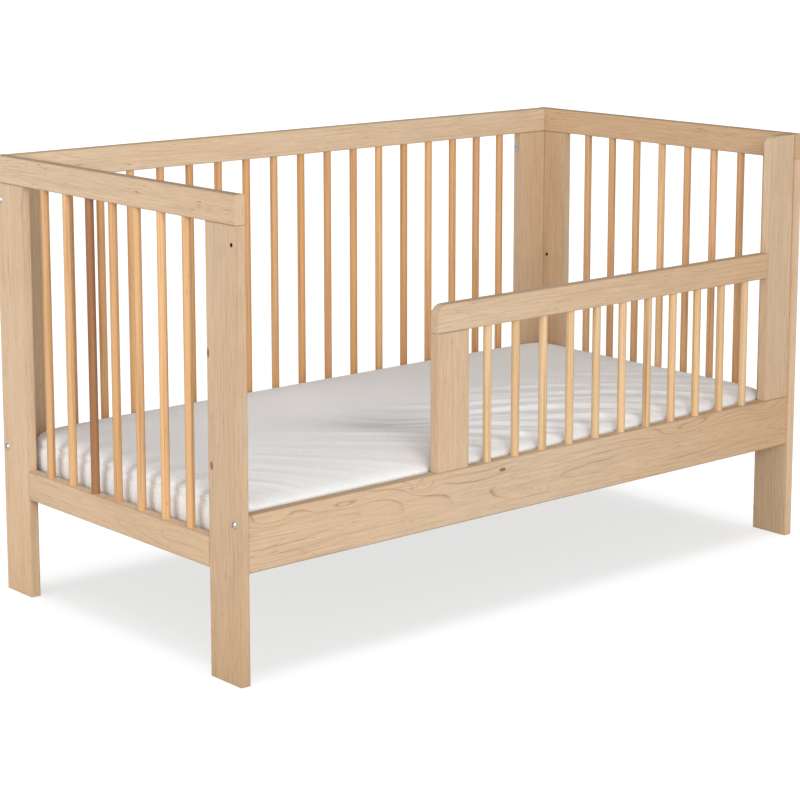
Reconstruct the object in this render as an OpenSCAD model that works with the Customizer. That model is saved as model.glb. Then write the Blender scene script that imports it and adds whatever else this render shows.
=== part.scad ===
// Baby crib for a 1400 x 700 mm mattress, set up as a toddler bed: two slatted end
// panels, a slatted back panel, a front panel with a half-length guard and an open
// entry, a slatted base that hangs on support pegs, and the mattress.
// X runs along the crib, the entry faces -Y, Z is up. The origin lies on the floor
// under the middle of the crib.

/* [Mattress] */
// Length of the mattress
mattress_l = 1400; // [1300:10:1450]
// Width of the mattress
mattress_w = 700; // [650:10:750]
// Thickness of the mattress at its edge
mattress_t = 85; // [60:5:85]
// Gap between the mattress and each panel
mattress_gap = 5; // [3:1:8]

/* [Frame] */
// Height of the crib
crib_h = 850; // [800:10:900]
// Thickness of every board
board_t = 20; // [18:1:24]
// Step from an end panel's edge back to the face of the front or back panel
panel_inset = 4; // [0:1:10]
// Height of the top rails and of the guard's top rail
top_rail_h = 52; // [45:1:60]
// Rounding along the boards' edges
edge_r = 2; // [1:0.5:3]
// Rounding where two boards butt
joint_r = 0.6; // [0.4:0.2:1]

/* [End panels] */
// Width of the end posts
end_post_w = 88; // [80:1:95]
// Height of the lower end rail's underside above the floor
end_lower_z = 195; // [190:1:200]
// Height of the lower end rail
end_lower_h = 55; // [50:1:60]

/* [Back panel] */
// Width of the back posts
back_post_w = 78; // [70:1:85]
// Height of the long lower rails' underside above the floor
side_lower_z = 198; // [190:1:205]
// Height of the long lower rails
side_lower_h = 102; // [95:1:110]

/* [Front guard] */
// Distance from the crib's middle to the left edge of the short post
guard_left = 275; // [265:1:285]
// Width of the short post
short_post_w = 78; // [70:1:85]
// Width of the tall post
tall_post_w = 73; // [70:1:80]
// Height of the guard's top above the floor
guard_top_z = 610; // [580:1:640]
// Radius of the guard's and the tall post's rounded upper corners
corner_r = 25; // [15:1:30]

/* [Slats] */
// Diameter of the round slats
slat_d = 16; // [14:1:18]
// Distance between slat centres in the back and in the guard
slat_pitch = 71.5; // [70:0.5:72]

/* [Mattress base] */
// Height of the lowest row of level holes
level_z = 213; // [208:1:216]
// Distance between two base levels
level_step = 150; // [120:10:160]
// Height of the base rails
base_rail_h = 40; // [38:1:42]
// Width of a base slat
base_slat_w = 60; // [50:1:65]

/* [Hidden] */
$fn = 48;
// How far a cut runs past the face it opens
over = 1;
wood = [0.84, 0.72, 0.58];
slat_wood = [0.88, 0.70, 0.48];
base_wood = [0.86, 0.76, 0.62];
zinc = [0.75, 0.76, 0.78];
cotton = [0.94, 0.94, 0.93];

// Clear space between the panels
inner_l = mattress_l + 2 * mattress_gap;
inner_w = mattress_w + 2 * mattress_gap;
// Outer half length and half width over the end panels
half_l = inner_l / 2 + board_t;
half_w = inner_w / 2 + board_t + panel_inset;
rail_z = crib_h - top_rail_h;
end_lower_top = end_lower_z + end_lower_h;
side_lower_top = side_lower_z + side_lower_h;
guard_rail_z = guard_top_z - top_rail_h;
// The middle of the front and back panels' thickness, where bolts and slats run
panel_y = inner_w / 2 + board_t / 2;
tall_post_x = inner_l / 2 - tall_post_w;
back_post_x = inner_l / 2 - back_post_w;
short_post_mid = short_post_w / 2 - guard_left;

end_slats = 7;
guard_slats = 11;
guard_first = -2;
back_half = 8;
// The end slats divide the space between the end posts evenly
end_pitch = (2 * (half_w - end_post_w) + slat_d) / (end_slats + 1);
tenon_r = 5;
tenon_l = 12;

dowel_r = 4;
dowel_l = 40;
end_dowel_step = 22;
post_dowel_step = 20;
rail_dowel_step = 12;
// Dowels under the tall and back posts keep clear of the bolts there
foot_dowels = [9, 23];

bolt_r = 3;
bolt_hole_r = 3.5;
bolt_head_r = 6.5;
bolt_head_h = 3.5;
bolt_dome_r = 9;
bolt_low_z = 285;
bolt_high_z = 765;
barrel_r = 5;
barrel_l = 14;
barrel_in = 38;
// The bolt hole runs on past the nut, and the nut's own hole leaves some wood outside
barrel_past = 10;
barrel_skin = 3;
barrel_bolt_l = 64;
sleeve_r = 4.5;
sleeve_l = 23;
sleeve_head_r = 7.5;
sleeve_head_h = 2;
// Length behind the sleeve nut's head that isn't drilled
sleeve_solid = 4;
sleeve_bolt_l = 90;
socket_r = 2.3;
socket_deep = 2;

// The level holes' middles stand this far in from the side panels
level_inset = 10;
level_y = inner_w / 2 - level_inset;
insert_r = 4.5;
insert_l = 12;
insert_hole_l = 14;
insert_sunk = 2;
peg_r = 4;
peg_l = 15;
peg_thread_l = 12;

base_gap = 2;
base_rail_t = 18;
// The cross rails stand this far in from the long rails' ends, clear of the pegs
cross_rail_inset = 20;
base_slat_t = 10;
base_slats_n = 12;
rebate_w = 9;
// Height of the base's top above the pegs' middles
base_rise = 16;
base_top = level_z + base_rise;
base_half_l = inner_l / 2 - base_gap;
base_half_w = inner_w / 2 - base_gap;
cross_rail_x = base_half_l - cross_rail_inset - base_rail_t;
base_bay_l = 2 * cross_rail_x;
base_slat_pitch = (base_bay_l + base_slat_w) / (base_slats_n + 1);
base_slat_l = 2 * (base_half_w - base_rail_t + rebate_w);
peg_slot_r = 4.2;
peg_slot_l = 17;
frame_screw_r = 2.5;
frame_screw_l = 50;
frame_screw_head_r = 4.5;
frame_screw_head_h = 3;
// Depths of the two screws at each corner below the base's top
frame_screw_drops = [16, 30];
slat_screw_r = 1.75;
slat_screw_l = 25;
slat_screw_head_r = 3.5;
slat_screw_head_h = 2;

// Play between the base and the mattress
mattress_clear = 0.5;
mattress_corner_r = 45;
mattress_edge_r = 22;

// ---- shared shapes ----

// A rectangle whose four corners, from the lower left and counter-clockwise, have
// the radii in r
module rounded_rect(size, r) {
    difference() {
        square(size);
        for (k = [0 : 3]) {
            right = k == 1 || k == 2;
            upper = k >= 2;
            translate([right ? size[0] : 0, upper ? size[1] : 0])
                mirror([right ? 1 : 0, 0]) mirror([0, upper ? 1 : 0])
                    difference() {
                        translate([-over, -over]) square(r[k] + over);
                        translate([r[k], r[k]]) circle(r[k]);
                    }
        }
    }
}

// A board from its lowest corner. rx, ry and rz round the edges that run along X, Y
// and Z; ry may be a list of four for a board with one large corner.
module board(size, rx, ry, rz) {
    four = function (r) is_list(r) ? r : [r, r, r, r];
    intersection() {
        linear_extrude(size[2]) rounded_rect([size[0], size[1]], four(rz));
        rotate([90, 0, 90]) linear_extrude(size[0]) rounded_rect([size[1], size[2]], four(rx));
        translate([0, size[1], 0]) rotate([90, 0, 0])
            linear_extrude(size[1]) rounded_rect([size[0], size[2]], four(ry));
    }
}

module along_x(length, r) {
    rotate([0, 90, 0]) cylinder(h = length, r = r, center = true);
}

module along_y(length, r) {
    rotate([90, 0, 0]) cylinder(h = length, r = r, center = true);
}

module along_z(length, r) {
    cylinder(h = length, r = r, center = true);
}

// Draws its children at both ends of the crib, mirrored
module both_ends() {
    for (side = [-1, 1])
        mirror([side < 0 ? 1 : 0, 0, 0]) children();
}

module both_sides() {
    for (side = [-1, 1])
        mirror([0, side < 0 ? 1 : 0, 0]) children();
}

// A round slat from z0 to z1 with a tenon at each end
module slat(z0, z1) {
    translate([0, 0, z0]) cylinder(h = z1 - z0, d = slat_d);
    translate([0, 0, z0 - tenon_l]) cylinder(h = z1 - z0 + 2 * tenon_l, r = tenon_r);
}

function end_slat_y(i) = (i - (end_slats + 1) / 2) * end_pitch;
function guard_slat_x(i) = (guard_first + i - 1) * slat_pitch;

// ---- dowels, each drawn in place ----

module end_dowels() {
    x = inner_l / 2 + board_t / 2;
    both_sides() {
        for (s = [-1, 1]) {
            translate([x, half_w - end_post_w / 2 + s * end_dowel_step, rail_z])
                along_z(dowel_l, dowel_r);
            translate([x, half_w - end_post_w, end_lower_z + end_lower_h / 2 + s * rail_dowel_step])
                along_y(dowel_l, dowel_r);
        }
    }
}

module back_dowels() {
    both_ends() {
        for (s = [-1, 1])
            translate([back_post_x + back_post_w / 2 + s * post_dowel_step, panel_y, rail_z])
                along_z(dowel_l, dowel_r);
        for (d = foot_dowels)
            translate([back_post_x + d, panel_y, side_lower_top]) along_z(dowel_l, dowel_r);
    }
}

module guard_dowels() {
    for (s = [-1, 1]) {
        for (z = [side_lower_top, guard_rail_z])
            translate([short_post_mid + s * post_dowel_step, -panel_y, z])
                along_z(dowel_l, dowel_r);
        translate([tall_post_x, -panel_y, guard_rail_z + top_rail_h / 2 + s * rail_dowel_step])
            along_x(dowel_l, dowel_r);
    }
    for (d = foot_dowels)
        translate([tall_post_x + d, -panel_y, side_lower_top]) along_z(dowel_l, dowel_r);
}

// ---- holes, each drawn in place at the right-hand end ----

// Through holes in an end post for the bolts at y
module post_bolt_holes(y) {
    for (z = [bolt_low_z, bolt_high_z])
        translate([half_l, y, z]) along_x(3 * board_t, bolt_hole_r);
}

// Blind holes for the level inserts at y
module level_holes(y) {
    for (i = [0 : 2])
        translate([inner_l / 2 + insert_hole_l / 2 - over, y, level_z + i * level_step])
            along_x(insert_hole_l + 2 * over, insert_r);
}

// A bolt hole into a board's end with the cross hole for its barrel nut. face is the
// y of the board's inner face and out points from there into the board.
module barrel_hole(z, face, out) {
    bolt_reach = barrel_in + barrel_past;
    nut_reach = board_t - barrel_skin;
    translate([inner_l / 2 - bolt_reach / 2 + over, face + out * board_t / 2, z])
        along_x(bolt_reach + 2 * over, bolt_hole_r);
    translate([inner_l / 2 - barrel_in, face + out * nut_reach / 2, z])
        along_y(nut_reach, barrel_r);
}

module sleeve_hole() {
    translate([back_post_x + back_post_w / 2, panel_y, bolt_high_z])
        along_x(back_post_w + 2 * over, bolt_hole_r);
    translate([back_post_x + sleeve_l / 2 - over, panel_y, bolt_high_z])
        along_x(sleeve_l + 2 * over, sleeve_r);
}

// ---- end panels, drawn at the right-hand end ----

module end_post(front) {
    s = front ? -1 : 1;
    y0 = front ? -half_w : half_w - end_post_w;
    difference() {
        translate([inner_l / 2, y0, 0])
            board([board_t, end_post_w, rail_z], joint_r, joint_r, edge_r);
        end_dowels();
        post_bolt_holes(s * panel_y);
        level_holes(s * level_y);
    }
}

module end_top_rail() {
    difference() {
        translate([inner_l / 2, -half_w, rail_z])
            board([board_t, 2 * half_w, top_rail_h], edge_r, edge_r, edge_r);
        end_dowels();
        for (i = [1 : end_slats])
            translate([half_l - board_t / 2, end_slat_y(i), rail_z]) along_z(2 * tenon_l, tenon_r);
    }
}

module end_lower_rail() {
    w = 2 * (half_w - end_post_w);
    difference() {
        translate([inner_l / 2, -w / 2, end_lower_z])
            board([board_t, w, end_lower_h], edge_r, joint_r, joint_r);
        end_dowels();
        for (i = [1 : end_slats])
            translate([half_l - board_t / 2, end_slat_y(i), end_lower_top])
                along_z(2 * tenon_l, tenon_r);
    }
}

module end_slat(i) {
    translate([half_l - board_t / 2, end_slat_y(i), 0]) slat(end_lower_top, rail_z);
}

// Moves a right-hand part to the left-hand end
module at_left() {
    mirror([1, 0, 0]) children();
}

module left_front_post() { color(wood) at_left() end_post(true); }
module left_rear_post() { color(wood) at_left() end_post(false); }
module left_top_rail() { color(wood) at_left() end_top_rail(); }
module left_lower_rail() { color(wood) at_left() end_lower_rail(); }
module left_end_slat(i) { color(slat_wood) at_left() end_slat(i); }
module right_front_post() { color(wood) end_post(true); }
module right_rear_post() { color(wood) end_post(false); }
module right_top_rail() { color(wood) end_top_rail(); }
module right_lower_rail() { color(wood) end_lower_rail(); }
module right_end_slat(i) { color(slat_wood) end_slat(i); }

// ---- back panel ----

module back_post() {
    difference() {
        translate([back_post_x, inner_w / 2, side_lower_top])
            board([back_post_w, board_t, rail_z - side_lower_top], joint_r, joint_r, edge_r);
        back_dowels();
        sleeve_hole();
    }
}

module back_left_post() { color(wood) at_left() back_post(); }
module back_right_post() { color(wood) back_post(); }

module back_slat_holes(z) {
    for (i = [-back_half : back_half])
        translate([i * slat_pitch, panel_y, z]) along_z(2 * tenon_l, tenon_r);
}

module back_top_rail() {
    color(wood) difference() {
        translate([-inner_l / 2, inner_w / 2, rail_z])
            board([inner_l, board_t, top_rail_h], edge_r, joint_r, joint_r);
        back_dowels();
        back_slat_holes(rail_z);
    }
}

module back_lower_rail() {
    color(wood) difference() {
        translate([-inner_l / 2, inner_w / 2, side_lower_z])
            board([inner_l, board_t, side_lower_h], edge_r, joint_r, joint_r);
        back_dowels();
        back_slat_holes(side_lower_top);
        both_ends() barrel_hole(bolt_low_z, inner_w / 2, 1);
    }
}

module back_slats() {
    color(slat_wood)
        for (i = [-back_half : back_half])
            translate([i * slat_pitch, panel_y, 0]) slat(side_lower_top, rail_z);
}

// ---- front panel with the half-length guard ----

module guard_slat_holes(z) {
    for (i = [1 : guard_slats])
        translate([guard_slat_x(i), -panel_y, z]) along_z(2 * tenon_l, tenon_r);
}

module front_lower_rail() {
    color(wood) difference() {
        translate([-inner_l / 2, -inner_w / 2 - board_t, side_lower_z])
            board([inner_l, board_t, side_lower_h], edge_r, joint_r, joint_r);
        guard_dowels();
        guard_slat_holes(side_lower_top);
        both_ends() barrel_hole(bolt_low_z, -inner_w / 2, -1);
    }
}

module guard_short_post() {
    h = guard_rail_z - side_lower_top;
    color(wood) difference() {
        translate([-guard_left, -inner_w / 2 - board_t, side_lower_top])
            board([short_post_w, board_t, h], joint_r, joint_r, edge_r);
        guard_dowels();
    }
}

module guard_tall_post() {
    h = crib_h - side_lower_top;
    color(wood) difference() {
        translate([tall_post_x, -inner_w / 2 - board_t, side_lower_top])
            board([tall_post_w, board_t, h], [joint_r, joint_r, edge_r, edge_r],
                [joint_r, joint_r, joint_r, corner_r], edge_r);
        guard_dowels();
        barrel_hole(bolt_high_z, -inner_w / 2, -1);
    }
}

module guard_top_rail() {
    l = tall_post_x + guard_left;
    color(wood) difference() {
        translate([-guard_left, -inner_w / 2 - board_t, guard_rail_z])
            board([l, board_t, top_rail_h], edge_r,
                [joint_r, joint_r, joint_r, corner_r], [edge_r, joint_r, joint_r, edge_r]);
        guard_dowels();
        guard_slat_holes(guard_rail_z);
    }
}

module guard_slat(i) {
    color(slat_wood)
        translate([guard_slat_x(i), -panel_y, 0]) slat(side_lower_top, guard_rail_z);
}

// ---- slatted mattress base ----

function base_slat_x(i) = (i - (base_slats_n + 1) / 2) * base_slat_pitch;

// The screws that join the long base rails to the cross rails, at the +Y side
module frame_screws(r, head_r) {
    both_ends() for (drop = frame_screw_drops)
        translate([cross_rail_x + base_rail_t / 2, base_half_w, base_top - drop])
            rotate([90, 0, 0]) {
                cylinder(h = frame_screw_l, r = r);
                cylinder(h = frame_screw_head_h, r1 = head_r, r2 = r);
            }
}

// The screws that hold the base slats, at the +Y side
module base_slat_screws(r, head_r) {
    for (i = [1 : base_slats_n])
        translate([base_slat_x(i), base_half_w - base_rail_t + rebate_w / 2, base_top])
            rotate([180, 0, 0]) {
                cylinder(h = slat_screw_l, r = r);
                cylinder(h = slat_screw_head_h, r1 = head_r, r2 = r);
            }
}

// A long rail at the +Y side: rebated for the slats, slotted at its ends for the pegs
module base_long_rail() {
    slot_z = base_top - base_rail_h - over;
    difference() {
        translate([-base_half_l, base_half_w - base_rail_t, base_top - base_rail_h])
            board([2 * base_half_l, base_rail_t, base_rail_h], edge_r, edge_r, edge_r);
        translate([-base_bay_l / 2, base_half_w - base_rail_t - over, base_top - base_slat_t])
            cube([base_bay_l, rebate_w + over, base_slat_t + over]);
        both_ends() {
            translate([base_half_l - peg_slot_l / 2 + over, level_y, level_z])
                along_x(peg_slot_l, peg_slot_r);
            translate([base_half_l - peg_slot_l + over, level_y - peg_slot_r, slot_z])
                cube([peg_slot_l, 2 * peg_slot_r, level_z - slot_z]);
        }
        frame_screws(frame_screw_r, frame_screw_head_r);
        base_slat_screws(slat_screw_r, slat_screw_head_r);
    }
}

module base_cross_rail() {
    w = 2 * (base_half_w - base_rail_t);
    difference() {
        translate([cross_rail_x, -w / 2, base_top - base_rail_h])
            board([base_rail_t, w, base_rail_h], joint_r, edge_r, joint_r);
        both_sides() frame_screws(frame_screw_r, frame_screw_head_r);
    }
}

module base_rear_rail() { color(base_wood) base_long_rail(); }
module base_front_rail() { color(base_wood) mirror([0, 1, 0]) base_long_rail(); }
module base_right_rail() { color(base_wood) base_cross_rail(); }
module base_left_rail() { color(base_wood) at_left() base_cross_rail(); }

module base_slats() {
    color(base_wood) for (i = [1 : base_slats_n])
        difference() {
            translate([base_slat_x(i) - base_slat_w / 2, base_slat_l / 2, base_top - base_slat_t])
                rotate([90, 0, 0]) linear_extrude(base_slat_l)
                    rounded_rect([base_slat_w, base_slat_t], [edge_r, edge_r, edge_r, edge_r]);
            both_sides() base_slat_screws(slat_screw_r, slat_screw_head_r);
        }
}

module base_screws() {
    color(zinc) both_sides() frame_screws(frame_screw_r, frame_screw_head_r);
}

module slat_screws() {
    color(zinc) both_sides() base_slat_screws(slat_screw_r, slat_screw_head_r);
}

// ---- mattress ----

module mattress() {
    r = mattress_edge_r;
    c = mattress_corner_r;
    color(cotton)
        translate([-mattress_l / 2, -mattress_w / 2, base_top + mattress_clear])
            board([mattress_l, mattress_w, mattress_t], r, r, c);
}

// ---- metal fittings ----

// A round-headed socket bolt along X, drawn with its head's underside at x = 0 and
// its shank running to -x
module bolt(length) {
    difference() {
        union() {
            translate([-length / 2, 0, 0]) along_x(length, bolt_r);
            rotate([0, 90, 0]) rotate_extrude() intersection() {
                square([bolt_head_r, bolt_head_h]);
                translate([0, bolt_head_h - bolt_dome_r]) circle(bolt_dome_r);
            }
        }
        translate([bolt_head_h - socket_deep, 0, 0]) rotate([0, 90, 0])
            cylinder(h = socket_deep + over, r = socket_r, $fn = 6);
    }
}

module barrel_bolt(y, z) {
    translate([half_l, y, z]) bolt(barrel_bolt_l);
}

module connecting_bolts() {
    color(zinc) {
        both_ends() {
            barrel_bolt(-panel_y, bolt_low_z);
            barrel_bolt(panel_y, bolt_low_z);
            translate([half_l, panel_y, bolt_high_z]) bolt(sleeve_bolt_l);
        }
        barrel_bolt(-panel_y, bolt_high_z);
    }
}

// A round cross nut: face is the y of the board's inner face, out points into it
module barrel_nut(z, face, out) {
    translate([inner_l / 2 - barrel_in, face + out * board_t / 2, z]) difference() {
        along_y(barrel_l, barrel_r);
        along_x(3 * barrel_r, bolt_r);
    }
}

module barrel_nuts() {
    color(zinc) {
        both_ends() {
            barrel_nut(bolt_low_z, -inner_w / 2, -1);
            barrel_nut(bolt_low_z, inner_w / 2, 1);
        }
        barrel_nut(bolt_high_z, -inner_w / 2, -1);
    }
}

// A flat-headed sleeve nut whose head bears on the back post's inner edge
module sleeve_nuts() {
    color(zinc) both_ends()
        translate([back_post_x, panel_y, bolt_high_z]) difference() {
            union() {
                translate([-sleeve_head_h / 2, 0, 0]) along_x(sleeve_head_h, sleeve_head_r);
                translate([sleeve_l / 2, 0, 0]) along_x(sleeve_l, sleeve_r);
            }
            translate([sleeve_l / 2 + sleeve_solid, 0, 0]) along_x(sleeve_l, bolt_r);
            translate([-sleeve_head_h - over, 0, 0]) rotate([0, 90, 0])
                cylinder(h = sleeve_head_h + 2 * over, r = socket_r, $fn = 6);
        }
}

module joint_dowels() {
    color(base_wood) {
        both_ends() end_dowels();
        back_dowels();
        guard_dowels();
    }
}

module level_inserts() {
    x = inner_l / 2 + insert_sunk + insert_l / 2;
    color(zinc) both_ends() both_sides() for (i = [0 : 2])
        translate([x, level_y, level_z + i * level_step]) difference() {
            along_x(insert_l, insert_r);
            along_x(insert_l + 2 * over, bolt_r);
        }
}

// The four pegs in the lowest level, with the base's long rails hung over them
module support_pegs() {
    color(zinc) both_ends() both_sides() translate([inner_l / 2, level_y, level_z]) {
        translate([-peg_l / 2 + insert_sunk / 2, 0, 0]) along_x(peg_l + insert_sunk, peg_r);
        translate([insert_sunk + peg_thread_l / 2 - over, 0, 0])
            along_x(peg_thread_l + 2 * over, bolt_r);
    }
}

// ---- the nodes ----

left_front_post();
left_rear_post();
left_top_rail();
left_lower_rail();
right_front_post();
right_rear_post();
right_top_rail();
right_lower_rail();
back_left_post();
back_right_post();
back_top_rail();
back_lower_rail();
front_lower_rail();
guard_short_post();
guard_tall_post();
guard_top_rail();
for (i = [1 : end_slats])
    left_end_slat(i);
for (i = [1 : end_slats])
    right_end_slat(i);
for (i = [1 : guard_slats])
    guard_slat(i);
back_slats();
base_front_rail();
base_rear_rail();
base_left_rail();
base_right_rail();
base_slats();
base_screws();
slat_screws();
mattress();
connecting_bolts();
sleeve_nuts();
barrel_nuts();
joint_dowels();
level_inserts();
support_pegs();
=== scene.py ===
"""The looks of a slatted baby crib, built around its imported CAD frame."""

import math

import bmesh
import bpy
import numpy as np
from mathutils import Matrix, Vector


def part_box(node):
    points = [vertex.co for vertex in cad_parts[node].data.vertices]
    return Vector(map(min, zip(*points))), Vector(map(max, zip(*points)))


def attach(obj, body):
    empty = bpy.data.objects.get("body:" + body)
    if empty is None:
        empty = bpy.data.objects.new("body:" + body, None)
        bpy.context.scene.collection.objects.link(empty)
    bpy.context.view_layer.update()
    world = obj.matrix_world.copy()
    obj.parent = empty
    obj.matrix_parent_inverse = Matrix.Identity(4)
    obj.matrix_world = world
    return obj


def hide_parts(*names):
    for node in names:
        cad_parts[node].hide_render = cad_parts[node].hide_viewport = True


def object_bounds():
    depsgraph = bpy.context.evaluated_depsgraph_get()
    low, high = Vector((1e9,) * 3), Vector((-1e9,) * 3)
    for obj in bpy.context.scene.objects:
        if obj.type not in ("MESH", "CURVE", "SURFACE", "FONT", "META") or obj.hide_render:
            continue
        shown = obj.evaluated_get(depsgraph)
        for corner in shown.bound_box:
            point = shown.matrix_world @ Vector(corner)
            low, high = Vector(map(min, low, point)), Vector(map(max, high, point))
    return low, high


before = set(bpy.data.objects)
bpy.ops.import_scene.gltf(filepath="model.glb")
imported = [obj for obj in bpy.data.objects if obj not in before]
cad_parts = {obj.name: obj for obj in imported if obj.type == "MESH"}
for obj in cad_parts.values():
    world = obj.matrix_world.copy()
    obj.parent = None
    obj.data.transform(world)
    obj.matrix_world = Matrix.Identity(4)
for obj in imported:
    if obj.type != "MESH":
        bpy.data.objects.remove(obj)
CAD_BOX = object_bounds()
SCENE = bpy.context.scene
MIDDLE = (CAD_BOX[0] + CAD_BOX[1]) / 2


# ---- colours ----

def tone(red, green, blue):
    """A colour picked as 0 to 255 values on a screen, as the linear colour of a shader."""
    def linear(value):
        share = value / 255
        return share / 12.92 if share <= 0.04045 else ((share + 0.055) / 1.055) ** 2.4
    return (linear(red), linear(green), linear(blue), 1.0)


MAPLE_PALE = tone(208, 184, 155)
MAPLE_DEEP = tone(199, 162, 121)
MAPLE_LINE = tone(148, 104, 68)
MAPLE_PINK = tone(199, 161, 129)
MAPLE_FLECK = tone(146, 102, 68)
MAPLE_KNOT = tone(112, 74, 46)
# Painted shade for the boards' edges, a darker brown along each arris.
ARRIS = tone(140, 104, 74)
# Painted shade for the inside of an open bore.
BORE_PAINTED_SHADE = tone(70, 48, 30)
SLAT_PALE = (tone(223, 189, 146), tone(213, 175, 127))
SLAT_GOLD = (tone(217, 170, 117), tone(202, 150, 96))
SLAT_DEEP = (tone(214, 170, 120), tone(201, 152, 101))
SLAT_WARM = (tone(221, 182, 134), tone(199, 152, 105))
SLAT_LINE = tone(156, 100, 58)
SLAT_RED = tone(142, 84, 46)
SLAT_FLECK = tone(140, 90, 48)
PINE = tone(226, 202, 168)
PINE_LINE = tone(196, 160, 118)
COTTON = tone(252, 252, 252)
COTTON_SHADE = tone(222, 219, 217)
ZINC = tone(206, 208, 212)
# A darker zinc for the level inserts, as painted shade for their lying deep in their bores.
ZINC_PAINTED_SHADE = tone(120, 116, 112)
WHITE = (1.0, 1.0, 1.0, 1.0)

# ---- wood: noise in waves per metre across, through and along the grain ----

DRIFT = (3, 3, 1.5)
WAVER = (28, 28, 9)
FADE = (22, 22, 5.0)
FIBRE = (560, 560, 24)
STREAK = (300, 300, 3.6)
HAIR = (520, 520, 4.5)
CLOUD = (9, 9, 4)
BLUSH = (30, 30, 2.5)
DASH = (520, 520, 44)
DASH_PATCH = (24, 24, 6)

SLAT_STREAK = (230, 230, 4.0)
SLAT_FIBRE = (900, 900, 26)
SLAT_CLOUD = (25, 25, 5)
SLAT_GROWTH = (330, 330, 3.2)
SLAT_BLUSH = (90, 90, 2.2)
SLAT_DASH = (500, 500, 60)

PINE_WAVER = (12, 12, 2.5)
PINE_FIBRE = (700, 700, 14)
PINE_CLOUD = (20, 20, 3)
PINE_RING = 0.0065

# ---- wood: lengths in metres, and how strongly each mark shows ----

BORE_REACH = 0.0037
CAP_REACH = 0.0021
ARRIS_REACH = 0.0026
ARRIS_SHARE = 0.34
HAIR_LINES = 0.24
SWIRL_LINES = 0.85
KNOT_REACH = (0.009, 0.0038)
MAPLE_ROUGH = 0.44
SLAT_ROUGH = 0.40
PINE_ROUGH = 0.60
SLAT_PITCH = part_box("guard_slat_2")[0].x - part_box("guard_slat_1")[0].x
END_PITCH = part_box("left_end_slat_2")[0].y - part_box("left_end_slat_1")[0].y

# ---- figure of single boards, from the board's middle ----
# A knot is (along, across), and a swirl is (along, across, length, width, rings).

FRONT_KNOTS = ((-0.113, 0.040),)
FRONT_SWIRLS = (
    (-0.662, 0.034, 0.050, 0.013, 1.7),
    (-0.507, 0.038, 0.075, 0.010, 1.6),
    (-0.310, 0.038, 0.024, 0.010, 2.3),
    (0.390, 0.036, 0.110, 0.016, 3.4),
    (0.640, 0.034, 0.060, 0.018, 1.8),
)
NEAR_KNOTS = ((0.172, 0.036), (-0.022, 0.036))
NEAR_SWIRLS = (
    (0.174, 0.040, 0.045, 0.010, 2.2),
    (-0.022, 0.040, 0.050, 0.012, 2.6),
    (-0.29, 0.040, 0.060, 0.010, 1.6),
    (-0.35, 0.030, 0.050, 0.012, 1.4),
)
REAR_SWIRLS = ((0.10, 0.010, 0.120, 0.014, 1.8), (-0.05, 0.030, 0.080, 0.010, 1.2))
OPEN_BORE = (-0.365, 0.765)
RED_SLAT = "left_end_slat_5"

# ---- mattress: lengths in metres ----

MATTRESS_SWELL = 0.004
MATTRESS_CORNER = 0.042
MATTRESS_EDGE = 0.013
MATTRESS_VOXEL = 0.009
CLOTH_STEPS = 20
CROWN = 0.005
FRONT_DROP = 0.014
END_DROP = 0.008
SIDE_BULGE = 0.0035
SEAM_DROP = 0.022
SEAM_WIDTH = 0.004
KNIT_PITCH = 0.0050
KNIT_BUMP = 0.0010
KNIT_ROUGH = 0.88
FOLD_HEADING = math.radians(-40.8)
FOLD_PITCH = 0.062
FOLD_HIGH = 0.0062
RIPPLE_PITCH = 0.037
RIPPLE_HIGH = 0.0028
HOLLOW_AT = (-0.058, -0.10)
HOLLOW_DEEP = 0.022
HOLLOW_LONG = 0.17
HOLLOW_SHADE_REACH = (0.10, 0.10)
# How dark the soft patch of painted shade over the hollow in the mattress top is.
HOLLOW_PAINTED_SHADE = 0.19

# ---- studio ----

DOME_TOWARD = Vector((-0.72, -0.62, 0.55)).normalized()
DOME_START = -0.3
DOME_END = 0.9
DOME_LOW = 0.08
DOME_HIGH = 0.92
FLOOR_REACH = 30.0
FLOOR_MATT = 0.25
FLOOR_GLOW = 0.72
FLOOR_BOUNCE = 0.38
BOX_SIZE = 1.8
LEFT_BOX = ((-3.9, 0.3, 1.5), 36.0)
FRONT_BOX = ((-2.0, -3.8, 1.7), 94.0)
ABOVE_STRENGTH = 3.8
ABOVE_ANGLE = math.radians(38.0)
CAMERA_PLACE = (-2.9616, -3.3805, 1.3518)
CAMERA_HEADING = math.radians(40.835)
CAMERA_DIP = math.radians(9.780)
CAMERA_LENS = 102.99
CAMERA_SENSOR = 36.0
CAMERA_SHIFT = -0.15


# ---- shader building ----

def grey(level):
    return (level, level, level, 1.0)


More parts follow.
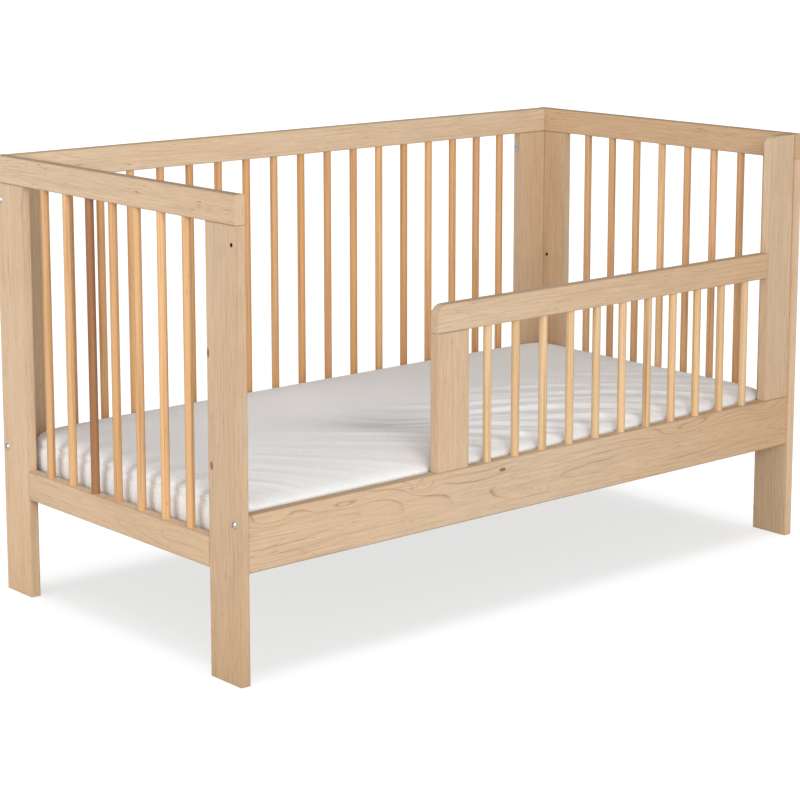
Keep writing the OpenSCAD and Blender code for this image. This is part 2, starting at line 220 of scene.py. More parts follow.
class Shader:
    """Builds one procedural material, node by node."""

    def __init__(self, name):
        self.material = bpy.data.materials.new(name)
        self.material.use_nodes = True
        self.tree = self.material.node_tree
        self.surface = self.tree.nodes["Principled BSDF"]

    def put(self, socket, value):
        if isinstance(value, bpy.types.NodeSocket):
            self.tree.links.new(value, socket)
        else:
            socket.default_value = value

    def finish_with(self, **inputs):
        """Sets the surface shader's own sockets; an underscore stands for a space."""
        for name, value in inputs.items():
            self.put(self.surface.inputs[name.replace("_", " ")], value)
        return self.material

    def add(self, kind, settings=None, **inputs):
        node = self.tree.nodes.new(kind)
        for name, value in (settings or {}).items():
            setattr(node, name, value)
        for name, value in inputs.items():
            self.put(node.inputs[name], value)
        return node

    def math(self, operation, *values):
        node = self.add("ShaderNodeMath", {"operation": operation})
        for socket, value in zip(node.inputs, values):
            self.put(socket, value)
        return node.outputs[0]

    def sum(self, first, *others):
        total = first
        for other in others:
            total = self.math("ADD", total, other)
        return total

    def minus(self, first, second):
        return self.math("SUBTRACT", first, second)

    def times(self, first, second):
        return self.math("MULTIPLY", first, second)

    def vector(self, operation, *values):
        node = self.add("ShaderNodeVectorMath", {"operation": operation})
        for socket, value in zip(node.inputs, values):
            self.put(socket, value)
        return node.outputs[0]

    def length(self, vector):
        node = self.add("ShaderNodeVectorMath", {"operation": "LENGTH"})
        self.put(node.inputs[0], vector)
        return node.outputs["Value"]

    def scaled(self, vector, scale):
        node = self.add("ShaderNodeVectorMath", {"operation": "SCALE"}, Scale=scale)
        self.put(node.inputs[0], vector)
        return node.outputs[0]

    def place(self):
        """The point in the row frame, in metres."""
        return self.add("ShaderNodeTexCoord").outputs["Object"]

    def split(self, vector):
        return list(self.add("ShaderNodeSeparateXYZ", Vector=vector).outputs)

    def join(self, x, y, z):
        return self.add("ShaderNodeCombineXYZ", X=x, Y=y, Z=z).outputs[0]

    def noise(self, place, per_metre, detail=2.0, output="Fac"):
        """Noise with its own number of waves per metre along each axis."""
        stretched = self.vector("MULTIPLY", place, per_metre)
        node = self.add("ShaderNodeTexNoise", Vector=stretched, Scale=1.0, Detail=detail)
        return node.outputs[output]

    def ramp(self, value, stops):
        """A grey ramp through (position, level) stops."""
        node = self.add("ShaderNodeValToRGB", Fac=value)
        elements = node.color_ramp.elements
        while len(elements) < len(stops):
            elements.new(0.5)
        for element, (position, level) in zip(elements, stops):
            element.position = position
            element.color = grey(level)
        return node.outputs["Color"]

    def blend(self, factor, first, second):
        node = self.add("ShaderNodeMix", {"data_type": "RGBA"})
        self.put(node.inputs[0], factor)
        self.put(node.inputs[6], first)
        self.put(node.inputs[7], second)
        return node.outputs[2]

    def sway(self, noise, amount):
        """Turns noise round 0.5 into a value from about -amount to amount."""
        return self.times(self.minus(noise, 0.5), 2 * amount)

    def lit(self, colour, brightness):
        """The colour made brighter or darker."""
        return self.scaled(colour[:3] if isinstance(colour, tuple) else colour, brightness)

    def bump(self, height, strength, distance):
        return self.add("ShaderNodeBump", Strength=strength, Distance=distance,
                        Height=height).outputs[0]


# ---- wood ----

def hill(s, along, across, place, reach):
    """1 at a place on a board's face, falling off with its reach (along, across)."""
    steps = [s.math("DIVIDE", s.minus(value, middle), size)
             for value, middle, size in zip((along, across), place, reach)]
    squares = s.sum(*[s.times(step, step) for step in steps])
    return s.math("EXPONENT", s.times(squares, -1.0))


def swirl_field(s, along, across, swirls):
    """Rings of growth added round each swirl."""
    total = 0.0
    for *place, length, width, rings in swirls:
        rise = hill(s, along, across, place, (length, width))
        total = s.sum(total, s.times(rise, rings))
    return total


def knot_mask(s, along, across, knots):
    """Nearly 1 in the dark middle of each small knot, and 0 away from them."""
    total = 0.0
    for knot in knots:
        total = s.math("MAXIMUM", total, hill(s, along, across, knot, KNOT_REACH))
    return s.ramp(total, [(0.30, 0.0), (0.60, 0.85)])


def thickness_axis(grain, face):
    return next(axis for axis in "XYZ" if axis not in (grain, face))


def board_axes(s, node, grain, face):
    """The point in a board's own axes: across its face, through its thickness and
    along its grain, from its middle."""
    low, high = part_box(node)
    centred = s.vector("SUBTRACT", s.place(), tuple((low + high) / 2))
    value = dict(zip("XYZ", s.split(centred)))
    return s.join(value[face], value[thickness_axis(grain, face)], value[grain])


def half_size(node, grain, face):
    """Half the board's size along the three axes of board_axes."""
    low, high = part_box(node)
    half = dict(zip("XYZ", (high - low) / 2))
    return half[face], half[thickness_axis(grain, face)], half[grain]


def arris_mask(s, here, half, capped):
    """1 along a board's edges and ends, fading to 0 a little way onto its faces; this is where
    painted shade darkens the edges. The capped side, 0 across or 2 along, leaves out the seam on an
    end panel's narrow face."""
    to_face = [s.minus(size, s.math("ABSOLUTE", value))
               for size, value in zip(half, s.split(here))]
    if capped is not None:
        seam = 2 - capped
        on_cap = s.math("LESS_THAN", to_face[capped], CAP_REACH)
        to_face[seam] = s.sum(to_face[seam], on_cap)
    a, b, c = to_face
    nearer, farther = s.math("MINIMUM", a, b), s.math("MAXIMUM", a, b)
    second = s.math("MAXIMUM", nearer, s.math("MINIMUM", farther, c))
    return s.ramp(s.math("DIVIDE", second, ARRIS_REACH), [(0.30, 1.0), (1.0, 0.0)])


def bore_mask(s, holes):
    """1 inside the bores along X whose (y, z) middles are listed, and 0 elsewhere; it is where a
    bore is painted dark as painted shade.
    """
    _, across, up = s.split(s.place())
    nearest = 1.0
    for y, z in holes:
        away = s.length(s.join(0.0, s.minus(across, y), s.minus(up, z)))
        nearest = s.math("MINIMUM", nearest, away)
    return s.math("LESS_THAN", nearest, BORE_REACH)


def upright_ends(s, here, half_length):
    """Turns the figure on a board's end faces, so that it runs on down the post below."""
    side, thick, length = s.split(here)
    to_end = s.minus(half_length, s.math("ABSOLUTE", length))
    at_end = s.math("LESS_THAN", to_end, CAP_REACH)
    return s.blend(at_end, here, s.join(length, thick, side))


def wavered(s, here, there):
    """The board's three axes, bent as a tree's growth bends them."""
    drift = s.split(s.noise(there, DRIFT, 1.0, "Color"))
    waver = s.split(s.noise(there, WAVER, 3.0, "Color"))
    across, deep, along = s.split(here)
    across = s.sum(across, s.sway(drift[0], 0.035), s.sway(waver[0], 0.0020))
    deep = s.sum(deep, s.sway(drift[1], 0.05), s.sway(waver[1], 0.0020))
    return across, deep, s.sum(along, s.sway(waver[2], 0.010))


def growth_lines(s, there, bent, pith, ring, swirls):
    """The darker late wood of each year, as far as it shows."""
    across, deep, along = bent
    radius = s.length(s.join(s.minus(across, pith[0]), s.minus(deep, pith[1]), 0.0))
    figure = swirl_field(s, along, across, swirls)
    years = s.sum(s.math("DIVIDE", radius, ring), figure)
    season = s.ramp(s.math("FRACT", years),
                    [(0.0, 0.15), (0.06, 0.0), (0.78, 0.04), (0.91, 0.5), (0.95, 1.0), (1.0, 0.15)])
    shown = s.ramp(s.noise(there, FADE), [(0.42, 0.05), (0.64, 1.0)])
    if swirls:
        near_swirl = s.ramp(figure, [(0.15, 0.0), (0.6, SWIRL_LINES)])
        shown = s.math("MAXIMUM", shown, near_swirl)
    return s.times(season, shown)


def maple(node, grain, face, seed, pith, ring=0.0042, lines=0.55, flecks=0.5, pink=0.35,
          shade=1.0, slope=0.0, deep_at=(0.3, 0.3, 0.3), swirls=(), knots=(), holes=(),
          capped=None):
    """Planed and lacquered maple. pith is where the tree's heart lay, from the board's middle; ring
    is the width of a year's growth; shade brightens or darkens the board, partly as its own tone
    and partly as painted light for how brightly it is lit, and the slope is painted light,
    brightening or darkening it by that much for each metre along it; deep_at is how deep its colour
    is at its start, middle and end. The edges and open bores are darkened as painted shade."""
    s = Shader("maple_" + node)
    here = board_axes(s, node, grain, face)
    half = half_size(node, grain, face)
    arris = arris_mask(s, here, half, capped)
    start_to_end = s.sum(s.math("DIVIDE", s.split(here)[2], 2 * half[2]), 0.5)
    deepness = s.ramp(start_to_end, list(zip((0.0, 0.5, 1.0), deep_at)))
    if capped == 2:
        here = upright_ends(s, here, half[2])
    there = s.vector("ADD", here, (seed * 3.1, seed * 1.7, seed * 5.3))
    bent = wavered(s, here, there)
    across, _, along = bent
    line = s.times(growth_lines(s, there, bent, pith, ring, swirls), lines)

    fibre = s.noise(there, FIBRE, 3.0)
    streak = s.noise(there, STREAK, 3.0)
    cloud = s.noise(there, CLOUD)
    hair = s.ramp(s.noise(there, HAIR, 1.0), [(0.56, 0.0), (0.72, HAIR_LINES)])
    warm = s.ramp(s.noise(there, BLUSH), [(0.40, 0.0), (0.75, pink)])
    dash = s.ramp(s.noise(there, DASH, 1.0), [(0.66, 0.0), (0.74, 1.0)])
    patch = s.ramp(s.noise(there, DASH_PATCH, 1.0), [(0.42, 0.1), (0.60, flecks)])
    colour = s.blend(deepness, MAPLE_PALE, MAPLE_DEEP)
    colour = s.blend(warm, colour, MAPLE_PINK)
    colour = s.blend(s.math("MAXIMUM", line, hair), colour, MAPLE_LINE)
    colour = s.blend(s.times(dash, patch), colour, MAPLE_FLECK)
    if knots:
        colour = s.blend(knot_mask(s, along, across, knots), colour, MAPLE_KNOT)
    # The shade is partly the board's tone and partly painted light, and the slope is painted light
    # along the board; fibre, streak and cloud are the wood's own tone.
    light = s.sum(s.times(along, slope), shade,
                  s.sway(fibre, 0.24), s.sway(streak, 0.10), s.sway(cloud, 0.06))
    colour = s.lit(colour, light)
    # Painted shade: every edge of the board is darkened towards brown.
    colour = s.blend(s.times(arris, ARRIS_SHARE), colour, ARRIS)
    # Painted shade: the inside of each open bore is painted dark.
    if holes:
        colour = s.blend(bore_mask(s, holes), colour, BORE_PAINTED_SHADE)
    grain_height = s.minus(fibre, s.times(line, 0.5))
    return s.finish_with(Base_Color=colour, Roughness=s.sum(MAPLE_ROUGH, s.sway(streak, 0.06)),
                         Normal=s.bump(grain_height, 0.10, 0.0004))


def slat_wood(name, seed, tones, shade=1.0, red=0.0):
    """Golden turned dowel stock. Each slat's own place gives it its own mix of the two
    tones and its own shade."""
    s = Shader("slat_" + name)
    here = s.place()
    x, y, _ = s.split(here)
    number_x = s.math("ROUND", s.math("DIVIDE", x, SLAT_PITCH))
    number_y = s.math("ROUND", s.math("DIVIDE", y, END_PITCH))
    own = s.add("ShaderNodeTexWhiteNoise", {"noise_dimensions": "3D"},
                Vector=s.join(number_x, number_y, seed)).outputs
    there = s.vector("ADD", here, s.scaled(own["Color"], 7.0))
    streak = s.noise(there, SLAT_STREAK, 3.0)
    fibre = s.noise(there, SLAT_FIBRE)
    cloud = s.noise(there, SLAT_CLOUD)
    line = s.ramp(s.noise(there, SLAT_GROWTH), [(0.52, 0.0), (0.72, 0.7)])
    redden = s.ramp(s.noise(there, SLAT_BLUSH), [(0.3, red * 0.6), (0.7, red)])
    dash = s.ramp(s.noise(there, SLAT_DASH, 1.0), [(0.70, 0.0), (0.80, 0.5)])
    hue = s.split(own["Color"])[2]
    colour = s.blend(line, s.blend(hue, *tones), SLAT_LINE)
    colour = s.blend(redden, colour, SLAT_RED)
    colour = s.blend(dash, colour, SLAT_FLECK)
    light = s.sum(shade, s.sway(own["Value"], 0.07), s.sway(streak, 0.08),
                  s.sway(fibre, 0.05), s.sway(cloud, 0.05))
    return s.finish_with(Base_Color=s.lit(colour, light),
                         Roughness=s.sum(SLAT_ROUGH, s.sway(streak, 0.06)),
                         Normal=s.bump(s.sum(fibre, streak), 0.08, 0.0003))


def pine(node, grain, face, seed):
    """Plain sanded pine, for the mattress base and the dowels."""
    s = Shader("pine_" + node)
    here = board_axes(s, node, grain, face)
    there = s.vector("ADD", here, (seed * 2.3, seed * 1.1, seed * 4.7))
    waver = s.split(s.noise(there, PINE_WAVER, 2.0, "Color"))
    across = s.sum(s.split(here)[0], s.sway(waver[0], 0.012))
    years = s.math("FRACT", s.math("DIVIDE", across, PINE_RING))
    season = s.ramp(years, [(0.0, 0.1), (0.7, 0.25), (0.9, 0.85), (1.0, 0.1)])
    fibre = s.noise(there, PINE_FIBRE)
    cloud = s.noise(there, PINE_CLOUD)
    light = s.sum(1.0, s.sway(fibre, 0.05), s.sway(cloud, 0.06))
    return s.finish_with(Base_Color=s.lit(s.blend(season, PINE, PINE_LINE), light),
                         Roughness=s.sum(PINE_ROUGH, s.sway(fibre, 0.08)),
                         Normal=s.bump(fibre, 0.15, 0.0004))


def zinc(name, colour=ZINC):
    """Zinc-plated steel, a little uneven."""
    s = Shader("zinc_" + name)
    here = s.place()
    grit = s.noise(here, (2600, 2600, 2600))
    cloud = s.noise(here, (300, 300, 300))
    return s.finish_with(Base_Color=s.lit(colour, s.sum(1.0, s.sway(cloud, 0.12))),
                         Roughness=s.sum(0.30, s.sway(cloud, 0.10)), Metallic=1.0,
                         Normal=s.bump(grit, 0.10, 0.0001))


# ---- mattress ----

def fold_axes(s, x, y):
    """The distances along and across the folds."""
    cosine, sine = math.cos(FOLD_HEADING), math.sin(FOLD_HEADING)
    along = s.sum(s.times(x, cosine), s.times(y, sine))
    across = s.minus(s.times(y, cosine), s.times(x, sine))
    return along, across


def honeycomb(s, along, across, pitch):
    """1 on the cells' pads and 0 in the lines between them."""
    total = 0.0
    for turn in (0, 60, 120):
        lean = math.radians(turn)
        line = s.sum(s.times(along, math.cos(lean)), s.times(across, math.sin(lean)))
        wave = s.math("COSINE", s.times(line, 2 * math.pi / (pitch * 0.866)))
        total = s.sum(total, wave)
    return s.ramp(s.times(s.sum(total, 1.5), 1 / 4.5), [(0.0, 0.0), (0.5, 1.0)])


def knit(name):
    """White knitted cover: a small honeycomb over the surface, whatever way it faces, with a soft
    patch of painted shade over the hollow in its top.
    """
    s = Shader(name)
    here = s.place()
    x, y, z = s.split(here)
    facing = s.split(s.add("ShaderNodeTexCoord").outputs["Normal"])
    flat = s.ramp(s.math("ABSOLUTE", facing[2]), [(0.55, 0.0), (0.80, 1.0)])
    top_cells = honeycomb(s, x, y, KNIT_PITCH)
    side_cells = honeycomb(s, s.sum(x, y), z, KNIT_PITCH)
    cells = s.blend(flat, side_cells, top_cells)
    yarn = s.noise(here, (1500, 1500, 1500))
    cloud = s.noise(here, (6, 6, 6))
    between = s.minus(1.0, cells)
    colour = s.blend(s.times(between, 0.5), COTTON, COTTON_SHADE)
    along, across = fold_axes(s, x, y)
    # Painted shade: a soft darker patch in the cover's colour over the hollow in the top.
    painted_hollow_shade = hill(s, along, across, HOLLOW_AT, HOLLOW_SHADE_REACH)
    light = s.sum(1.0, s.sway(cloud, 0.03), s.sway(yarn, 0.05))
    light = s.minus(light, s.times(painted_hollow_shade, HOLLOW_PAINTED_SHADE))
    height = s.sum(cells, s.times(yarn, 0.25))
    return s.finish_with(Base_Color=s.lit(colour, light),
                         Roughness=s.sum(KNIT_ROUGH, s.sway(yarn, 0.05)),
                         Sheen_Weight=0.15, Sheen_Roughness=0.5, Specular_IOR_Level=0.2,
                         Normal=s.bump(height, 0.45, KNIT_BUMP))


def upright(edge):
    return abs((edge.verts[0].co - edge.verts[1].co).z) > 1e-6


def on_rim(edge):
    """Whether the edge lies between a block's side and its top or bottom."""
    lean = [abs(face.normal.z) for face in edge.link_faces]
    return len(lean) == 2 and not upright(edge) and min(lean) < 0.5 < max(lean)


def padded_block(low, high, corner, edge):
    """A block with round corners in plan and rounded edges, as a mesh."""
    shape = bmesh.new()
    bmesh.ops.create_cube(shape, size=1.0)
    size, middle = high - low, (high + low) / 2
    for vertex in shape.verts:
        vertex.co = Vector(a * b for a, b in zip(vertex.co, size)) + middle
    bmesh.ops.bevel(shape, geom=[e for e in shape.edges if upright(e)], offset=corner,
                    segments=8, profile=0.5, affect="EDGES")
    bmesh.ops.bevel(shape, geom=[e for e in shape.edges if on_rim(e)], offset=edge,
                    segments=5, profile=0.5, affect="EDGES")
    mesh = bpy.data.meshes.new("mattress_cover")
    shape.to_mesh(mesh)
    shape.free()
    return mesh


def apply_all(piece):
    """Applies every modifier on the piece."""
    deps = bpy.context.evaluated_depsgraph_get()
    mesh = bpy.data.meshes.new_from_object(piece.evaluated_get(deps))
    piece.modifiers.clear()
    piece.data = mesh


def points_of(piece):
    points = np.empty(len(piece.data.vertices) * 3)
    piece.data.vertices.foreach_get("co", points)
    return points.reshape(-1, 3)


def move_points(piece, points):
    piece.data.vertices.foreach_set("co", points.ravel())
    piece.data.update()


def swell(piece, most):
    """Blows the cover up like a filled bag, by no more than most."""
    rest = points_of(piece)
    cloth = piece.modifiers.new("Cloth", "CLOTH")
    settings = cloth.settings
    settings.use_pressure = True
    settings.uniform_pressure_force = 4.0
    settings.effector_weights.gravity = 0.0
    settings.tension_stiffness = 30.0
    settings.bending_stiffness = 4.0
    cloth.point_cache.frame_start = 1
    cloth.point_cache.frame_end = CLOTH_STEPS
    for step in range(1, CLOTH_STEPS + 1):
        SCENE.frame_set(step)
    apply_all(piece)
    SCENE.frame_set(1)
    moved = points_of(piece) - rest
    length = np.linalg.norm(moved, axis=1, keepdims=True)
    move_points(piece, rest + moved * np.minimum(1.0, most / np.maximum(length, 1e-9)))


def smooth_step(value, start, end):
    share = np.clip((value - start) / (end - start), 0.0, 1.0)
    return share * share * (3 - 2 * share)


def ridges(phase):
    """Narrow crests with wide troughs between them, from 0 to 1."""
    return (0.5 + 0.5 * np.sin(phase)) ** 2.4


def folds(points, middle):
    """How far the loose cover on top rises in long folds, at each point."""
    x = points[:, 0] - middle.x
    y = points[:, 1] - middle.y
    along = x * math.cos(FOLD_HEADING) + y * math.sin(FOLD_HEADING)
    across = -x * math.sin(FOLD_HEADING) + y * math.cos(FOLD_HEADING)
    bent = across + 0.018 * np.sin(along * 5.1 + 1.0) + 0.010 * np.sin(along * 11.0 + across * 6)
    turn = bent * 2 * math.pi
    wave = ridges(turn / FOLD_PITCH + 1.3 * np.sin(along * 3.1 + 0.4))
    ripple = ridges(turn / RIPPLE_PITCH + 2.1 * np.sin(along * 4.3 + 2.0) + 1.1)
    strength = 0.5 + 0.5 * np.sin(along * 4.0 + across * 7.0 + 0.8)
    near_front = smooth_step(-y, -0.14, 0.20)
    to_right = 0.15 + 0.85 * smooth_step(x, -0.42, 0.02)
    rise = (FOLD_HIGH * wave + RIPPLE_HIGH * ripple) * (0.35 + 0.65 * strength)
    return rise * near_front * to_right + hollow(along - HOLLOW_AT[0], across - HOLLOW_AT[1])


def hollow(along, across):
    """A long soft dip, steeper towards the front, at distances from its middle."""
    fall = smooth_step(across, -0.14, 0.04) * (1 - smooth_step(across, 0.04, 0.34))
    return -HOLLOW_DEEP * np.exp(-(along / HOLLOW_LONG) ** 2) * fall


def shape_cover(piece, low, high):
    """Crowns the top, adds its folds, draws in the seam round the top's edge, and lays
    the underside flat on the slats."""
    points = points_of(piece)
    half = (high - low) / 2
    middle = (high + low) / 2
    reach_x = np.abs(points[:, 0] - middle.x) / half.x
    reach_y = np.abs(points[:, 1] - middle.y) / half.y
    inside = (1 - smooth_step(reach_x, 0.92, 0.99)) * (1 - smooth_step(reach_y, 0.88, 0.985))
    upper = smooth_step(points[:, 2], high.z - 0.05, high.z - 0.006)
    to_front = np.maximum(middle.y - points[:, 1], 0) / half.y
    crown = CROWN - np.maximum(FRONT_DROP * to_front ** 4, END_DROP * reach_x ** 12)
    points[:, 2] += upper * (crown + folds(points, middle) * inside)

    side = np.maximum(smooth_step(reach_x, 0.955, 0.985), smooth_step(reach_y, 0.91, 0.97))
    outward = points[:, :2] - np.array(middle)[:2]
    outward[:, 0] *= reach_x > 0.955
    outward[:, 1] *= reach_y > 0.91
    length = np.maximum(np.linalg.norm(outward, axis=1, keepdims=True), 1e-9)
    height = np.clip((points[:, 2] - low.z) / (high.z - low.z), 0, 1)
    groove = np.exp(-((points[:, 2] - (high.z - SEAM_DROP)) / SEAM_WIDTH) ** 2)
    bulge = SIDE_BULGE * (np.sin(height * math.pi) - groove)
    points[:, :2] += outward / length * (bulge * side)[:, None]
    points[:, 2] = np.maximum(points[:, 2], low.z)
    move_points(piece, points)


def mattress():
    """The foam mattress in its knitted cover: swollen, seamed round its top, creased."""
    low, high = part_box("mattress")
    slack = Vector((MATTRESS_SWELL, MATTRESS_SWELL, MATTRESS_SWELL / 2))
    mesh = padded_block(low + slack, high - slack, MATTRESS_CORNER, MATTRESS_EDGE)
    piece = bpy.data.objects.new("mattress_cover", mesh)
    SCENE.collection.objects.link(piece)
    remesh = piece.modifiers.new("Remesh", "REMESH")
    remesh.mode = "VOXEL"
    remesh.voxel_size = MATTRESS_VOXEL
    apply_all(piece)
    swell(piece, MATTRESS_SWELL)
    finer = piece.modifiers.new("Subdivision", "SUBSURF")
    finer.levels = finer.render_levels = 1
    apply_all(piece)
    shape_cover(piece, low, high)
    for face in piece.data.polygons:
        face.use_smooth = True
    piece.data.materials.append(knit("knit_cover"))
    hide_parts("mattress")
    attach(piece, "mattress")


# ---- the CAD pieces' materials ----

def dress(node, material):
    """Gives a CAD node its material."""
    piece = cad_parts[node]
    piece.data.materials.clear()
    piece.data.materials.append(material)


def dress_board(node, grain, face, seed, pith, **look):
    dress(node, maple(node, grain, face, seed, pith, **look))


def dress_back_and_front():
    back_post, rail, guard_post = (-0.09, 0.14), (0.08, 0.12), (0.12, 0.14)
    # Each board's shade is partly its own tone and partly painted light for how brightly it is lit.
    dress_board("back_left_post", "Z", "X", 11, back_post, lines=0.4)
    dress_board("back_right_post", "Z", "X", 12, back_post, lines=0.4, shade=1.02)
    # The back top rail's shade and slope are painted light, brightest at its left end.
    dress_board("back_top_rail", "X", "Z", 14, rail, lines=0.4, pink=0.3, flecks=0.7,
                shade=1.12, slope=-0.06, deep_at=(0.0, 0.1, 0.0))
    dress_board("back_lower_rail", "X", "Z", 15, rail, lines=0.4)
    dress_board("guard_top_rail", "X", "Z", 16, rail, lines=0.4, pink=0.3, flecks=0.7,
                deep_at=(0.1, 0.3, 0.8))
    dress_board("guard_short_post", "Z", "X", 18, guard_post, lines=0.45, deep_at=(0.4, 0.4, 0.3))
    dress_board("guard_tall_post", "Z", "X", 19, guard_post, lines=0.45, deep_at=(0.4, 0.3, 0.2))
    dress_board("front_lower_rail", "X", "Z", 21, (0.005, 0.055), lines=0.75, ring=0.0052,
                pink=0.2, deep_at=(0.4, 0.1, 0.9), swirls=FRONT_SWIRLS, knots=FRONT_KNOTS)


def dress_end_panels():
    # The posts' shade and slope are partly painted light: the left rear and right front posts are
    # brightened, most at their feet.
    looks = {"left_front_post": dict(deep_at=(0.8, 0.35, 0.3), shade=0.93, swirls=NEAR_SWIRLS,
                                     knots=NEAR_KNOTS),
             "left_rear_post": dict(deep_at=(0.6, 0.3, 0.3), shade=1.09, slope=-0.16),
             "right_front_post": dict(deep_at=(0.4, 0.3, 0.3), shade=1.12, slope=-0.10),
             "right_rear_post": dict(deep_at=(0.4, 0.4, 0.4), shade=0.96, swirls=REAR_SWIRLS)}
    for seed, (node, look) in enumerate(looks.items(), 4):
        pith = (0.09 if "rear" in node else -0.09, 0.16)
        # Each post's open bore is painted dark as painted shade.
        dress_board(node, "Z", "Y", seed, pith, lines=0.7, holes=[OPEN_BORE], capped=0, **look)
    top, lower = (0.09, 0.10), (0.01, 0.07)
    # The left top rail's shade and slope are painted light, brighter towards its rear end.
    dress_board("left_top_rail", "Y", "Z", 8, top, lines=0.45, flecks=0.9, shade=0.99,
                slope=0.12, deep_at=(0.35, 0.25, 0.0), capped=2)
    dress_board("right_top_rail", "Y", "Z", 9, top, lines=0.45, flecks=0.9,
                deep_at=(0.7, 0.7, 0.6), capped=2)
    dress_board("left_lower_rail", "Y", "Z", 10, lower, lines=0.6, shade=1.03,
                deep_at=(0.5, 0.45, 0.4))
    dress_board("right_lower_rail", "Y", "Z", 11, lower, lines=0.6)


def dress_slats():
    for number in range(1, 8):
        for side, tones in (("left", SLAT_DEEP), ("right", SLAT_WARM)):
            node = side + "_end_slat_" + str(number)
            look = dict(shade=0.82, red=0.90) if node == RED_SLAT else {}
            dress(node, slat_wood(node, number, tones, **look))
    for number in range(1, 12):
        node = "guard_slat_" + str(number)
        dress(node, slat_wood(node, 20 + number, SLAT_PALE))
    dress("back_slats", slat_wood("back_slats", 40, SLAT_GOLD, 1.03))


def dress_base():
    pieces = (("base_front_rail", "X", "Z"), ("base_rear_rail", "X", "Z"),
              ("base_left_rail", "Y", "Z"), ("base_right_rail", "Y", "Z"),
              ("base_slats", "Y", "X"), ("joint_dowels", "Z", "X"))
    for seed, (node, grain, face) in enumerate(pieces, 31):
        dress(node, pine(node, grain, face, seed))


def dress_metal():
    for node in ("connecting_bolts", "sleeve_nuts", "barrel_nuts", "support_pegs",
                 "base_screws", "slat_screws"):
        dress(node, zinc(node))
    # The level inserts get the darker zinc as painted shade, for their lying deep in their bores.
    dress("level_inserts", zinc("level_inserts", ZINC_PAINTED_SHADE))


# ---- studio ----

def studio_world():
    """A white backdrop whose light is stronger from the front left and above."""
    world = bpy.data.worlds.new("studio")
    world.use_nodes = True
    SCENE.world = world
    tree = world.node_tree
    tree.nodes.clear()
    new, link = tree.nodes.new, tree.links.new
    direction = new("ShaderNodeTexCoord")
    toward = new("ShaderNodeVectorMath")
    toward.operation = "DOT_PRODUCT"
    toward.inputs[1].default_value = DOME_TOWARD
    link(direction.outputs["Generated"], toward.inputs[0])
    level = new("ShaderNodeMapRange")
    level.interpolation_type = "SMOOTHSTEP"
    level.inputs["From Min"].default_value = DOME_START
    level.inputs["From Max"].default_value = DOME_END
    level.inputs["To Min"].default_value = DOME_LOW
    level.inputs["To Max"].default_value = DOME_HIGH
    link(toward.outputs["Value"], level.inputs["Value"])
    dome = new("ShaderNodeBackground")
    link(level.outputs["Result"], dome.inputs["Strength"])
    backdrop = new("ShaderNodeBackground")
    for shader in (dome, backdrop):
        shader.inputs["Color"].default_value = WHITE
    seen = new("ShaderNodeLightPath")
    mix = new("ShaderNodeMixShader")
    link(seen.outputs["Is Camera Ray"], mix.inputs[0])
    link(dome.outputs[0], mix.inputs[1])
    link(backdrop.outputs[0], mix.inputs[2])
    output = new("ShaderNodeOutputWorld")
    link(mix.outputs[0], output.inputs["Surface"])


def floor_material():
    """Matt and faintly glowing where it is seen, so that it stays white where nothing
    shades it; a plain matt floor to the light; and clear from below."""
    s = Shader("floor")
    s.tree.nodes.remove(s.surface)
    matt = s.add("ShaderNodeBsdfDiffuse", Color=grey(FLOOR_MATT))
    glow = s.add("ShaderNodeEmission", Color=WHITE, Strength=FLOOR_GLOW)
    bounce = s.add("ShaderNodeBsdfDiffuse", Color=grey(FLOOR_BOUNCE))
    clear = s.add("ShaderNodeBsdfTransparent")
    camera_ray = s.add("ShaderNodeLightPath").outputs["Is Camera Ray"]
    from_below = s.add("ShaderNodeNewGeometry").outputs["Backfacing"]

    def combine(kind, *sources):
        node = s.add(kind)
        for socket, source in zip(node.inputs, sources):
            s.put(socket, source)
        return node.outputs[0]

    seen = combine("ShaderNodeAddShader", matt.outputs[0], glow.outputs[0])
    top = combine("ShaderNodeMixShader", camera_ray, bounce.outputs[0], seen)
    sided = combine("ShaderNodeMixShader", from_below, top, clear.outputs[0])
    s.put(s.tree.nodes["Material Output"].inputs["Surface"], sided)
    return s.material


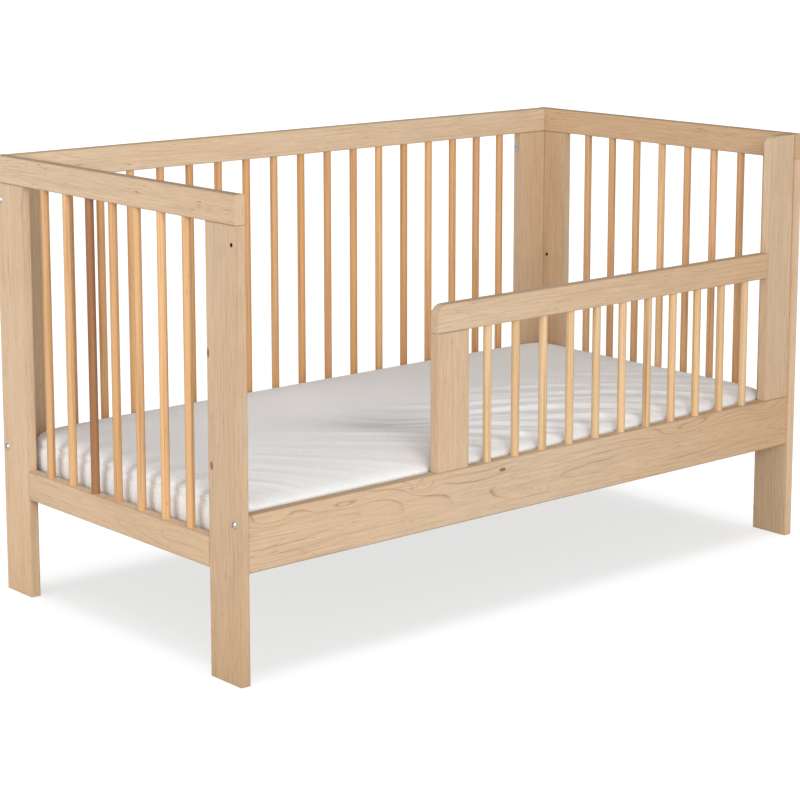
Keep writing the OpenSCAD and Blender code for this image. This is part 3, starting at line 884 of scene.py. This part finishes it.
def floor():
    """A pale floor that never hides the crib from below."""
    mesh = bpy.data.meshes.new("floor")
    corners = [(x * FLOOR_REACH, y * FLOOR_REACH, 0)
               for x, y in ((-1, -1), (1, -1), (1, 1), (-1, 1))]
    mesh.from_pydata(corners, [], [(0, 1, 2, 3)])
    mesh.materials.append(floor_material())
    piece = bpy.data.objects.new("floor", mesh)
    SCENE.collection.objects.link(piece)
    return piece


def soft_box(name, place, power):
    light = bpy.data.lights.new(name, "AREA")
    light.shape = "SQUARE"
    light.size = BOX_SIZE
    light.energy = power
    lamp = bpy.data.objects.new(name, light)
    lamp.location = place
    lamp.rotation_euler = (MIDDLE - Vector(place)).to_track_quat("-Z", "Y").to_euler()
    SCENE.collection.objects.link(lamp)
    return lamp


def light_above():
    light = bpy.data.lights.new("above", "SUN")
    light.energy = ABOVE_STRENGTH
    light.angle = ABOVE_ANGLE
    lamp = bpy.data.objects.new("above", light)
    SCENE.collection.objects.link(lamp)
    return lamp


def lights(ground):
    """Two soft boxes for the crib alone, and light from above for its soft shadow."""
    lamps = ((soft_box("left_box", *LEFT_BOX), "EXCLUDE"),
             (soft_box("front_box", *FRONT_BOX), "EXCLUDE"),
             (light_above(), "INCLUDE"))
    for lamp, ground_is in lamps:
        group = bpy.data.collections.new(lamp.name + "_lit")
        group.objects.link(ground)
        lamp.light_linking.receiver_collection = group
        group.collection_objects[0].light_linking.link_state = ground_is


def camera():
    data = bpy.data.cameras.new("camera")
    data.sensor_width = CAMERA_SENSOR
    data.lens = CAMERA_LENS
    data.shift_y = CAMERA_SHIFT
    data.clip_end = 100.0
    looking = Vector((math.sin(CAMERA_HEADING) * math.cos(CAMERA_DIP),
                      math.cos(CAMERA_HEADING) * math.cos(CAMERA_DIP),
                      -math.sin(CAMERA_DIP)))
    piece = bpy.data.objects.new("camera", data)
    piece.location = CAMERA_PLACE
    piece.rotation_euler = looking.to_track_quat("-Z", "Y").to_euler()
    SCENE.collection.objects.link(piece)
    SCENE.camera = piece


camera()
studio_world()
lights(floor())
mattress()
dress_back_and_front()
dress_end_panels()
dress_slats()
dress_base()
dress_metal()
SCENE.view_settings.view_transform = "Standard"
